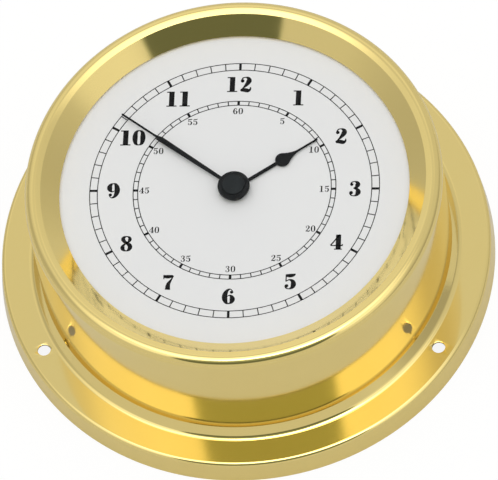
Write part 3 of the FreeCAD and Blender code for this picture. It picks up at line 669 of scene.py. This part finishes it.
ink_mesh = bmesh.new()
add_track(ink_mesh, minute_track)
add_track(ink_mesh, second_track)
for hour in range(1, 13):
    degrees = 90 - 30 * hour
    add_number(ink_mesh, str(hour), hour_figure_r, degrees, hour_figure_h, thick_stroke)
    add_number(ink_mesh, str(5 * hour), second_figure_r, degrees, second_figure_h, small_thick_stroke)
bmesh.ops.scale(ink_mesh, vec=(mm, mm, mm), verts=ink_mesh.verts)
bmesh.ops.recalc_face_normals(ink_mesh, faces=ink_mesh.faces)
ink_data = bpy.data.meshes.new("dial_print")
ink_mesh.to_mesh(ink_data)
ink_mesh.free()
dial_print = bpy.data.objects.new("dial_print", ink_data)
bpy.context.collection.objects.link(dial_print)
dial_print.data.materials.append(screen_ink())
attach(dial_print, "case")


# The hands are stamped from thin steel and lacquered black. The minute hand widens to a shoulder and then
# runs out in a needle, and the hour hand carries a pear-shaped bulb. Stamping leaves their upper edges softly
# rounded.
hand_t = 0.3
edge_round = 0.08
hand_arc_steps = 14
hub_arc_steps = 48
root_y = 2.0
root_half = 0.42
needle_half = 0.23
tip_half = 0.1
tip_taper = 0.23


def black_lacquer():
    """Matt black lacquer on stamped steel: deep and even, with a faint grain from spraying."""
    spray_dot = 0.25 * mm
    material, tree, place = new_finish("matt_black_lacquer")
    spray = add(tree, "TexNoise", {"Scale": 1 / spray_dot, "Detail": 2.0}, {"Vector": place})
    colour = add(tree, "Mix", {"data_type": "RGBA", 6: linear("#0f1113"), 7: linear("#16191b")},
                 {0: spray.outputs["Fac"]})
    rough = add(tree, "MapRange", {"To Min": 0.5, "To Max": 0.62}, {"Value": spray.outputs["Fac"]})
    shader = add(tree, "BsdfPrincipled", {"Specular IOR Level": 0.2},
                 {"Base Color": colour.outputs[2], "Roughness": rough.outputs[0]})
    add(tree, "OutputMaterial", links={"Surface": shader.outputs[0]})
    return material


def arc_leaving(start, way, end):
    """Points of the arc from start to end that leaves start in the direction way."""
    chord = end - start
    half_turn = math.atan2(chord.y, chord.x) - math.atan2(way.y, way.x)
    half_turn = (half_turn + math.pi) % (2 * math.pi) - math.pi
    radius = chord.length / (2 * math.sin(half_turn))
    heart = start + Vector((-way.y, way.x)).normalized() * radius
    spoke = start - heart
    return [heart + Matrix.Rotation(2 * half_turn * k / hand_arc_steps, 2) @ spoke
            for k in range(1, hand_arc_steps + 1)]


def flat_hand(name, right_side, hub_r, low, degrees):
    """A hand along +Y from the points of its right side, turned to its place, with its hub."""
    mesh = bmesh.new()
    outline = right_side + [Vector((-p.x, p.y)) for p in reversed(right_side) if p.x > 0]
    hub_start = math.asin(right_side[0].x / hub_r)
    turns = [hub_start + 2 * (math.pi - hub_start) * k / hub_arc_steps for k in range(hub_arc_steps + 1)]
    hub_arc = [Vector((-hub_r * math.sin(a), hub_r * math.cos(a))) for a in turns]
    outline = [p for p in outline if p.length > hub_r] + hub_arc
    face = mesh.faces.new([mesh.verts.new((p.x, p.y, low)) for p in outline])
    grown = bmesh.ops.extrude_face_region(mesh, geom=[face])
    top = [v for v in grown["geom"] if isinstance(v, bmesh.types.BMVert)]
    bmesh.ops.translate(mesh, vec=(0, 0, hand_t), verts=top)
    rim = [e for e in mesh.edges if all(v.co.z > low + hand_t / 2 for v in e.verts)]
    bmesh.ops.bevel(mesh, geom=rim, offset=edge_round, segments=2, affect="EDGES")
    bmesh.ops.rotate(mesh, cent=(0, 0, 0), matrix=Matrix.Rotation(math.radians(degrees - 90), 3, "Z"),
                     verts=mesh.verts)
    bmesh.ops.triangulate(mesh, faces=[f for f in mesh.faces if len(f.verts) > 4])
    return mesh_object(name, mesh, sharp_deg=50)


def needle_tip(tip_y):
    """The right side of a needle's blunt point."""
    return [Vector((needle_half, tip_y - tip_taper)), Vector((tip_half, tip_y)), Vector((0, tip_y))]


lacquer = black_lacquer()
minute_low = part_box("minute_hand")[0][2] / mm
hour_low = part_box("hour_hand")[0][2] / mm
hour_shown, minute_shown = 1, 51
minute_deg = 90 - 360 * minute_shown / 60
hour_deg = 90 - 360 * (hour_shown + minute_shown / 60) / 12

minute_hub_r = 3.0
minute_needle_y = 24.9
minute_tip_y = 34.5
shoulder = Vector((0.68, 22.5))
shoulder_lean_deg = 112
minute_side = [Vector((root_half, root_y)), shoulder]
minute_side += arc_leaving(shoulder, polar(1, shoulder_lean_deg).xy, Vector((needle_half, minute_needle_y)))
minute_side += needle_tip(minute_tip_y)
minute_blade = flat_hand("minute_hand_blade", minute_side, minute_hub_r, minute_low, minute_deg)

hour_hub_r = 3.1
hour_needle_y = 18.2
hour_tip_y = 23.6
bulb_r = 1.78
bulb_y = 13.7
bulb_steps = 24
flare = math.radians(35)
stem_end = math.atan2(-math.sqrt(bulb_r ** 2 - root_half ** 2), root_half)
bulb_turns = [stem_end + (flare - stem_end) * k / bulb_steps for k in range(bulb_steps + 1)]
bulb_arc = [Vector((bulb_r * math.cos(a), bulb_y + bulb_r * math.sin(a))) for a in bulb_turns]
flare_way = Vector((-math.sin(flare), math.cos(flare)))
hour_side = [Vector((root_half, root_y))] + bulb_arc
hour_side += arc_leaving(bulb_arc[-1], flare_way, Vector((needle_half, hour_needle_y)))
hour_side += needle_tip(hour_tip_y)
hour_blade = flat_hand("hour_hand_blade", hour_side, hour_hub_r, hour_low, hour_deg)

for blade, node, body in ((minute_blade, "minute_hand", "minute_hand_set"),
                          (hour_blade, "hour_hand", "hour_hand_set")):
    blade.data.materials.append(lacquer)
    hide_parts(node)
    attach(blade, body)


# The hub cap is black moulded plastic with a slight gloss: a low disc with a raised button. The button's top
# is painted a little lighter and bluer, a painted sheen, and shows fine rings from the turned mould.
cap_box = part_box("hub_cap")
cap_r = cap_box[1][0] / mm
cap_low, cap_high = cap_box[0][2] / mm, cap_box[1][2] / mm
cap_step = 0.7
button_r = 2.7
button_fade = 0.3
cap_fade = 0.1
cap_edge_radii = [0.05, 0.15, 0.05, 0.15]


def cap_plastic():
    """Slightly glossy black plastic: charcoal, with a painted sheen that makes the button's top lighter and
    bluer, and the faint rings of a turned mould.
    """
    tool_mark = 0.12 * mm
    material, tree, place = new_finish("glossy_black_moulded_plastic")
    radius = axis_distance(tree, place)
    button = add(tree, "MapRange", {"From Min": (button_r - button_fade) * mm, "To Min": 1.0,
                                    "From Max": (button_r + cap_fade) * mm, "To Max": 0.0}, {"Value": radius})
    tooling = add(tree, "TexNoise", {"Scale": 1 / tool_mark, "Detail": 1.0}, {"Vector": radius})
    # The lighter, bluer colour on the button's top is a painted sheen.
    colour = add(tree, "Mix", {"data_type": "RGBA", 6: linear("#111416"), 7: linear("#1d2224")},
                 {0: button.outputs[0]})
    bump = add(tree, "Bump", {"Strength": 0.06, "Distance": 0.02 * mm}, {"Height": tooling.outputs["Fac"]})
    shader = add(tree, "BsdfPrincipled", {"Roughness": 0.55, "Specular IOR Level": 0.25},
                 {"Base Color": colour.outputs[2], "Normal": bump.outputs[0]})
    add(tree, "OutputMaterial", links={"Surface": shader.outputs[0]})
    return material


cap_outline = [Vector(p) for p in (
    (0, cap_low), (cap_r, cap_low), (cap_r, cap_low + cap_step), (button_r, cap_low + cap_step),
    (button_r, cap_high), (0, cap_high))]
cap = lathe("hub_cap_moulded", rounded_line(cap_outline, cap_edge_radii), closed=False, steps=96)
cap.data.materials.append(cap_plastic())
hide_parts("hub_cap")
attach(cap, "minute_hand_set")


# The glass is a flat disc of float glass, laid in the mouth of the inner cone from the front. Its lower edge
# is ground to the cone's slope. It is clean and coated, so it hardly shows.
glass_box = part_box("glass")
glass_r = glass_box[1][0] / mm
glass_low, glass_high = glass_box[0][2] / mm, glass_box[1][2] / mm
glass_gap = 0.06
edge_land = 0.05


def coated_glass():
    """Coated float glass: clear, with a trace of reflection. Light that isn't seen directly passes freely.

    The coating takes away most of the reflection, and a low IOR stands for that.
    """
    wipe_mark = 20 * mm
    material, tree, place = new_finish("coated_float_glass")
    wear = add(tree, "TexNoise", {"Scale": 1 / wipe_mark, "Detail": 2.0}, {"Vector": place})
    rough = add(tree, "MapRange", {"To Min": 0.0, "To Max": 0.02}, {"Value": wear.outputs["Fac"]})
    pane = add(tree, "BsdfPrincipled",
               {"Base Color": linear("#ffffff"), "Transmission Weight": 1.0, "IOR": 1.02,
                "Specular IOR Level": 0.5}, {"Roughness": rough.outputs[0]})
    clear = add(tree, "BsdfTransparent")
    path = add(tree, "LightPath").outputs
    lighting = add(tree, "Math", {"operation": "MAXIMUM"},
                   {0: path["Is Shadow Ray"], 1: path["Is Diffuse Ray"]})
    passing = add(tree, "Math", {"operation": "MAXIMUM"}, {0: lighting.outputs[0], 1: path["Is Glossy Ray"]})
    shader = add(tree, "MixShader", links={0: passing.outputs[0], 1: pane.outputs[0], 2: clear.outputs[0]})
    add(tree, "OutputMaterial", links={"Surface": shader.outputs[0]})
    return material


cone_run = (crease_r - opening_r) / (crease_z - cone_low_z)
ground_r = glass_r - glass_gap - cone_run * (glass_high - edge_land - glass_low)
pane_outline = [(0, glass_low), (ground_r, glass_low), (glass_r - glass_gap, glass_high - edge_land),
                (glass_r - glass_gap, glass_high), (0, glass_high)]
pane = lathe("glass_pane", pane_outline, closed=False, steps=192)
pane.data.materials.append(coated_glass())
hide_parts("glass")
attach(pane, "case")


# The clock stands in a white light tent, dull low down and bright overhead. The tent's opening in front of
# the clock, where the picture is taken from, is dark. Each patch of light on the tent is given as azimuth,
# elevation, inner and outer degrees, and change in level.
tent_level = 0.64
tent_patches = (
    (0, 90, 5, 27, 1.2),
    (297, 77, 11, 16, 2.0),
    (120, 48, 10, 42, 0.24),
    (102, 70, 5, 20, -0.2),
    (210, 62, 6, 30, 0.5),
    (336, 60, 6, 28, 0.5),
    (331, 32, 7, 24, 0.2),
    (157, 30, 1, 50, -0.16),
    (8, -14, 7, 50, -0.25),
)
opening = (277, 46, 26.6, 29)
opening_sill = (24, 33)
opening_rise = (46, 62)
opening_levels = (0.16, 0.45)
opening_tint = "#f1ffe7"


def rise(elevation):
    """How high a direction of this elevation points, from 0 at level to 1 at straight up."""
    return math.sin(math.radians(elevation))


def tent_direction(azimuth, elevation):
    """The way from the clock to a place on the tent."""
    return polar(math.cos(math.radians(elevation)), azimuth, rise(elevation))


def soft_patch(tree, toward, azimuth, elevation, inner, outer, change=1.0):
    """The change inside a round patch of the tent and zero outside it, with a soft edge."""
    centre = tent_direction(azimuth, elevation)
    facing = add(tree, "VectorMath", {"operation": "DOT_PRODUCT", 1: centre}, {0: toward})
    edge = {"From Min": math.cos(math.radians(outer)), "From Max": math.cos(math.radians(inner))}
    return add(tree, "MapRange", {"interpolation_type": "SMOOTHSTEP", "To Max": change, **edge},
               {"Value": facing.outputs["Value"]})


def light_tent():
    """The tent as a world: its levels light the clock, and the background behind it is plain white."""
    world = bpy.data.worlds.new("white_light_tent")
    world.use_nodes = True
    tree = world.node_tree
    tree.nodes.clear()
    toward = add(tree, "TexCoord").outputs["Generated"]
    level = add(tree, "Value")
    level.outputs[0].default_value = tent_level
    for patch in tent_patches:
        change = soft_patch(tree, toward, *patch)
        level = add(tree, "Math", {"operation": "ADD"}, {0: level.outputs[0], 1: change.outputs[0]})
    height = add(tree, "SeparateXYZ", links={0: toward}).outputs["Z"]
    room = add(tree, "MapRange", {"From Min": rise(opening_rise[0]), "To Min": opening_levels[0],
                                  "From Max": rise(opening_rise[1]), "To Max": opening_levels[1]},
               {"Value": height})
    sill = add(tree, "MapRange", {"From Min": rise(opening_sill[0]), "From Max": rise(opening_sill[1])},
               {"Value": height})
    whole = soft_patch(tree, toward, *opening)
    gap = add(tree, "Math", {"operation": "MULTIPLY"}, {0: whole.outputs[0], 1: sill.outputs[0]})
    level = add(tree, "Mix", links={0: gap.outputs[0], 2: level.outputs[0], 3: room.outputs[0]})
    tint = add(tree, "Mix", {"data_type": "RGBA", 6: linear("#ffffff"), 7: linear(opening_tint)},
               {0: gap.outputs[0]})
    tent = add(tree, "Background", links={"Color": tint.outputs[2], "Strength": level.outputs[0]})
    plain = add(tree, "Background", {"Color": linear("#ffffff"), "Strength": 1.0})
    path = add(tree, "LightPath").outputs
    seen = add(tree, "Math", {"operation": "MAXIMUM"},
               {0: path["Is Camera Ray"], 1: path["Is Transmission Ray"]})
    background = add(tree, "MixShader", links={0: seen.outputs[0], 1: tent.outputs[0], 2: plain.outputs[0]})
    add(tree, "OutputWorld", links={"Surface": background.outputs[0]})
    return world


bpy.context.scene.world = light_tent()


# The floor is a large round board, painted matt white. It takes the clock's shadow and throws light back on
# the clock's sides.
floor_r = 1500
floor_white = 1.1
white_share = 0.82
white_share_mirrored = 0.15


def pale_floor():
    """Matt white paint. Seen directly it is the white background with the clock's shadow on it."""
    paint_grain = 3 * mm
    material, tree, place = new_finish("matt_white_board")
    grain = add(tree, "TexNoise", {"Scale": 1 / paint_grain, "Detail": 3.0}, {"Vector": place})
    colour = add(tree, "Mix", {"data_type": "RGBA", 6: linear("#cecece"), 7: linear("#d1d1d1")},
                 {0: grain.outputs["Fac"]})
    board = add(tree, "BsdfDiffuse", links={"Color": colour.outputs[2]})
    white = add(tree, "Emission", {"Color": linear("#ffffff"), "Strength": floor_white})
    path = add(tree, "LightPath").outputs
    seen = add(tree, "Math", {"operation": "MAXIMUM"},
               {0: path["Is Camera Ray"], 1: path["Is Transmission Ray"]})
    direct = add(tree, "Math", {"operation": "MULTIPLY", 1: white_share}, {0: seen.outputs[0]})
    share = add(tree, "Math", {"operation": "MULTIPLY_ADD", 1: white_share_mirrored},
                {0: path["Is Glossy Ray"], 2: direct.outputs[0]})
    shader = add(tree, "MixShader", links={0: share.outputs[0], 1: board.outputs[0], 2: white.outputs[0]})
    add(tree, "OutputMaterial", links={"Surface": shader.outputs[0]})
    return material


floor_mesh = bmesh.new()
bmesh.ops.create_circle(floor_mesh, cap_ends=True, segments=96, radius=floor_r)
floor = mesh_object("floor_board", floor_mesh)
floor.data.materials.append(pale_floor())


# The picture is taken from in front of the lower edge, high above the dial, with a long lens that is slightly
# rolled.
image_w = 498
focal_px = 8735.9
distance = 2086.1
roll = 0.191112
tilt = 0.514395
frame_turn = math.radians(12)
shift_right = -3.476
shift_up = 11.955
sensor_w = 36.0
far_clip = 20

tilted_up = Vector((0, math.cos(tilt), math.sin(tilt)))
toward_camera = Vector((0, -math.sin(tilt), math.cos(tilt)))
right = math.cos(roll) * Vector((1, 0, 0)) - math.sin(roll) * tilted_up
up = math.sin(roll) * Vector((1, 0, 0)) + math.cos(roll) * tilted_up
turned = Matrix.Rotation(frame_turn, 3, "Z")
right, up, toward_camera = (turned @ axis for axis in (right, up, toward_camera))
place = Vector((0, 0, dial_top)) + distance * toward_camera - shift_right * right - shift_up * up

camera_data = bpy.data.cameras.new("camera")
camera_data.sensor_width = sensor_w
camera_data.lens = focal_px * sensor_w / image_w
camera_data.clip_end = far_clip
camera = bpy.data.objects.new("camera", camera_data)
bpy.context.collection.objects.link(camera)
pose = Matrix((right, up, toward_camera)).transposed().to_4x4()
camera.matrix_world = Matrix.Translation(place * mm) @ pose
bpy.context.scene.camera = camera
bpy.context.scene.view_settings.view_transform = "Standard"

bpy.context.view_layer.update()
